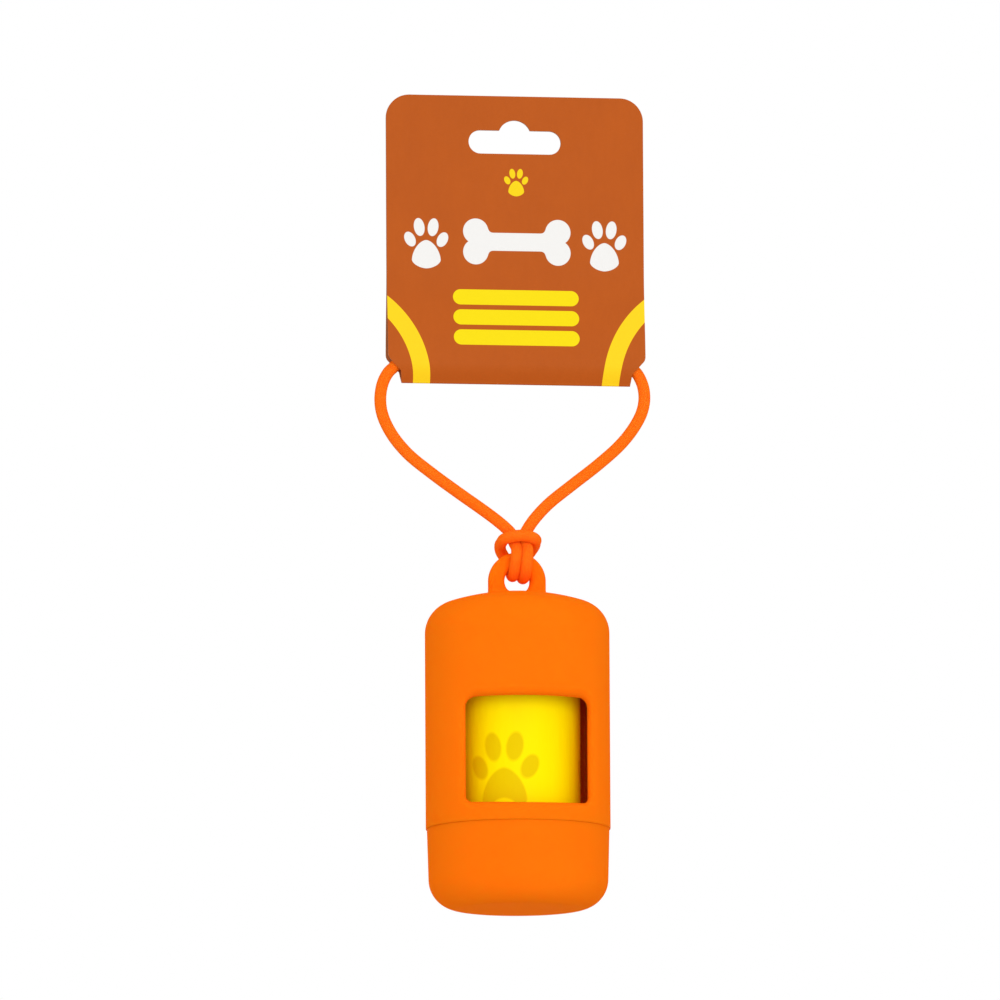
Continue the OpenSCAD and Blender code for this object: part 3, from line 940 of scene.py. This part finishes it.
def print_look():
    """The printed face: brown with two arcs, and a bone, paws and bare pills on the front only."""
    look = Look("card_print", (0.54, 0.1, 0.011), 0.5)
    x, z = look.x, look.z
    m = x.abs()
    front = (-look.y).ramp(-0.02, 0.02)

    arc_x, arc_r, arc_half = 51.9, 27.0, 2.25
    arc_front, arc_back = (
        (((m - arc_x).length(z - arc_z) - arc_r).abs() - arc_half).inside()
        for arc_z in (-64.0, -63.6)
    )
    arcs = arc_front * front + arc_back * (-front + 1.0)

    pill_half, pill_r = 14.55, 2.03
    high, middle, low = (
        (m - pill_half).most(0.0).length(z - pill_z) - pill_r
        for pill_z in (-41.0, -46.35, -51.7)
    )
    pills = high.least(middle).least(low)

    white = bone(x - 0.4, z + 26.3, 1.75).least(paw(m - 23.5, z + 26.6, 0.62))
    crest = paw(x - 0.3, z + 10.4, 0.34)

    mottle = look.noise(60, detail=4, roughness=0.55)
    grain = look.noise(1400, detail=3, roughness=0.6, offset=4)
    fibre = look.noise(700, detail=4, roughness=0.65, stretch=(1, 1, 0.35), offset=2)
    shade = (mottle * 0.9 + fibre * 0.5 + 0.5).clamp()
    ink = look.mix(shade, (0.41, 0.078, 0.006), (0.48, 0.096, 0.0085))
    ink = look.mix(arcs, ink, (0.9, 0.6, 0.01))
    ink = look.mix(pills.inside() * front, ink, (0.84, 0.655, 0.002))
    ink = look.mix(crest.inside(0.08) * front, ink, (0.84, 0.6, 0.006))
    ink = look.mix(white.inside(0.08) * front, ink, (0.785, 0.775, 0.755))
    look.colour(ink)
    look.bump(fibre * 0.7 + grain * 0.3, distance=0.00004, strength=0.5)
    look.roughness(grain * 0.2 + mottle * 0.1 + 0.5)
    look.set(Specular_IOR_Level=0.08)
    return look.material


def board_looks():
    """The bare inside and the cut edge of the board."""
    looks = []
    for name, colour in (("card_inside", (0.46, 0.14, 0.035)), ("card_edge", (0.5, 0.15, 0.04))):
        look = Look(name, colour, 0.85)
        fibre = look.noise(1200, detail=4, roughness=0.65, stretch=(1, 1, 0.4))
        speck = look.noise(260, detail=3, roughness=0.6, offset=2)
        dark = tuple(0.8 * c for c in colour)
        look.colour(look.mix((fibre + speck * 0.7 + 0.5).clamp(), dark, colour))
        look.bump(fibre, distance=0.00005, strength=0.6)
        look.roughness(fibre * 0.2 + 0.85)
        looks.append(look.material)
    return looks


def glue_look():
    """Dried glue, uneven in colour and height."""
    look = Look("card_glue", (0.8, 0.72, 0.5), 0.35)
    blot = look.noise(220, detail=3, roughness=0.5)
    look.colour(look.mix((blot + 0.5).clamp(), (0.68, 0.58, 0.36), (0.82, 0.75, 0.55)))
    look.bump(blot, distance=0.0001, strength=0.5)
    look.roughness(blot * 0.3 + 0.35)
    return look.material


# ---- Room and light -----------------------------------------------------------------------------


def floor_look(colour):
    """A pale, faintly grained floor."""
    look = Look("floor_pale", colour, 0.9)
    grain = look.noise(30, detail=2)
    look.colour(look.mix((grain + 0.5).clamp(), tuple(0.97 * c for c in colour), colour))
    return look.material


def add_area(name, place, target, size, power):
    """A white round lamp that faces the target, in metres and watts."""
    data = bpy.data.lights.new(name, "AREA")
    data.shape = "DISK"
    data.size = size
    data.energy = power
    lamp = bpy.data.objects.new(name, data)
    bpy.context.scene.collection.objects.link(lamp)
    lamp.location = place
    lamp.rotation_euler = (Vector(place) - Vector(target)).to_track_quat("Z", "Y").to_euler()


def make_world():
    """A studio that lights the object softly and that the camera and reflections see as white."""
    light_strength, seen_strength = 0.78, 1.0
    world = bpy.data.worlds.new("studio")
    bpy.context.scene.world = world
    world.use_nodes = True
    tree = world.node_tree
    shade = tree.nodes["Background"]
    shade.inputs["Color"].default_value = (1, 1, 1, 1)
    shade.inputs["Strength"].default_value = light_strength
    white = tree.nodes.new("ShaderNodeBackground")
    white.inputs["Color"].default_value = (1, 1, 1, 1)
    white.inputs["Strength"].default_value = seen_strength
    path = tree.nodes.new("ShaderNodeLightPath")
    seen = Field(tree, path.outputs["Is Camera Ray"])
    for ray in ("Is Glossy Ray", "Is Transmission Ray"):
        seen = seen.most(Field(tree, path.outputs[ray]))
    mix = tree.nodes.new("ShaderNodeMixShader")
    tree.links.new(seen.socket, mix.inputs[0])
    tree.links.new(shade.outputs[0], mix.inputs[1])
    tree.links.new(white.outputs[0], mix.inputs[2])
    tree.links.new(mix.outputs[0], tree.nodes["World Output"].inputs[0])


def make_room():
    """The studio's light, a round floor well below the hanging object, and three soft lamps."""
    bpy.context.scene.view_settings.view_transform = "Standard"
    make_world()

    floor_r, floor_z, sides = 1200, -600, 64
    turns = np.linspace(0, 2 * math.pi, sides, endpoint=False)
    points = [(floor_r * math.cos(a), floor_r * math.sin(a), floor_z) for a in turns]
    floor = add_mesh("floor", points, [range(sides)], smooth=False)
    wear(floor, floor_look((0.72, 0.72, 0.72)))

    middle = (0, 0, -0.12)
    add_area("key", (0.3, -1.35, 0.15), middle, size=0.8, power=4.0)
    add_area("fill", (-0.4, -1.35, 0.0), middle, size=0.9, power=3.6)
    add_area("low", (0.0, -1.1, -0.38), middle, size=0.6, power=0.8)


# ---- Build --------------------------------------------------------------------------------------

make_camera()

cord, route = make_cord()
wear(cord, silicone_look("cord_silicone", (1.0, 0.17, 0.01), (0.97, 0.156, 0.006), 0.5, seed=11))
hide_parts("cord_run", "cord_loop")
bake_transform(cord)

skin = silicone_look("body_silicone", (1.0, 0.188, 0.004), (0.98, 0.17, 0.003), 0.56, seed=1)
body, neck = make_body(), make_neck()
for piece in (body, neck):
    wear(piece, skin)
    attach(piece, "dispenser")
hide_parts("body_shell")

cap = make_cap()
wear(cap, silicone_look("cap_silicone", (1.0, 0.184, 0.004), (0.98, 0.166, 0.003), 0.55, seed=5))
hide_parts("end_cap")
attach(cap, "cap")

make_bags(film_look())
core = make_core()
wear(core, core_look())
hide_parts("roll_core")
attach(core, "roll")

card = make_card()
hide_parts("header_card")
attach(card, "card")
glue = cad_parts["card_glue"]
glue_material = glue_look()
for slot in glue.material_slots:
    slot.material = glue_material

make_room()
